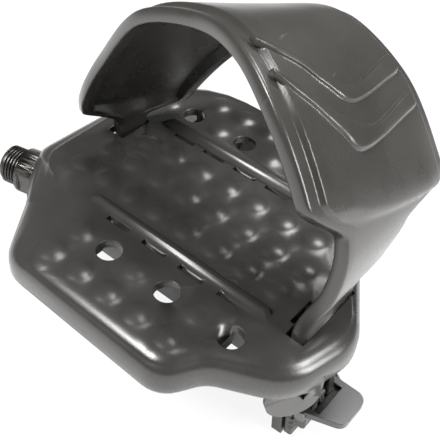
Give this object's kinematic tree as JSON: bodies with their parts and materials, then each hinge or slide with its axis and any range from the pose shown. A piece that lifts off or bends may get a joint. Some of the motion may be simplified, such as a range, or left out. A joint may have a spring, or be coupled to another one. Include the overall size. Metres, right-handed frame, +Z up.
{
  "type": "exercise bike pedal",
  "caption": "Exercise bike pedal with a ribbed deck on a ball-bearing spindle and a wide moulded foot strap that runs through the deck into a lever buckle.",
  "frame": {"origin": "centre of the spindle's shoulder, which seats on the crank arm", "axes": "+X runs out along the spindle from the crank arm, +Z points up out of the deck towards the foot strap, +Y is the toe side"},
  "size_m": [0.1505, 0.1303, 0.1263],
  "materials": {
    "body_plastic": "satin black moulded plastic, rubbed smooth",
    "strap_plastic": "satin black flexible moulded plastic",
    "buckle_plastic": "satin black moulded plastic",
    "spindle_steel": "black oxide on turned steel",
    "bearing_steel": "ground steel",
    "fastener_steel": "zinc-plated steel",
    "seal_rubber": "black rubber"
  },
  "bodies": {
    "root": {"spindle": "spindle_steel", "outer_cone": "bearing_steel", "lock_washer": "fastener_steel", "lock_nut": "fastener_steel"},
    "pedal": {"inner_seal": "seal_rubber", "inner_cup": "bearing_steel", "inner_balls": "bearing_steel", "outer_cup": "bearing_steel", "outer_balls": "bearing_steel", "dust_cap": "body_plastic", "pedal_body": "body_plastic", "foot_strap": "strap_plastic", "strap_pin": "fastener_steel", "tail_guide": "buckle_plastic", "guide_screws": "fastener_steel", "buckle_pin": "fastener_steel", "pin_clip": "fastener_steel", "lever_spring": "fastener_steel"},
    "lever": {"buckle_lever": "buckle_plastic"}
  },
  "joints": [
    {"name": "pedal_spin", "type": "hinge", "parent": "root", "child": "pedal", "pos_m": [0.05, 0, 0], "axis": [1, 0, 0], "continuous": true},
    {"name": "lever_turn", "type": "hinge", "parent": "pedal", "child": "lever", "pos_m": [0.1289, -0.02672, -0.01566], "axis": [-0.225, -0.9744, 0], "range_deg": [0, 30], "stiffness_Nm_per_rad": 0.05, "springref_deg": -17.19}
  ]
}
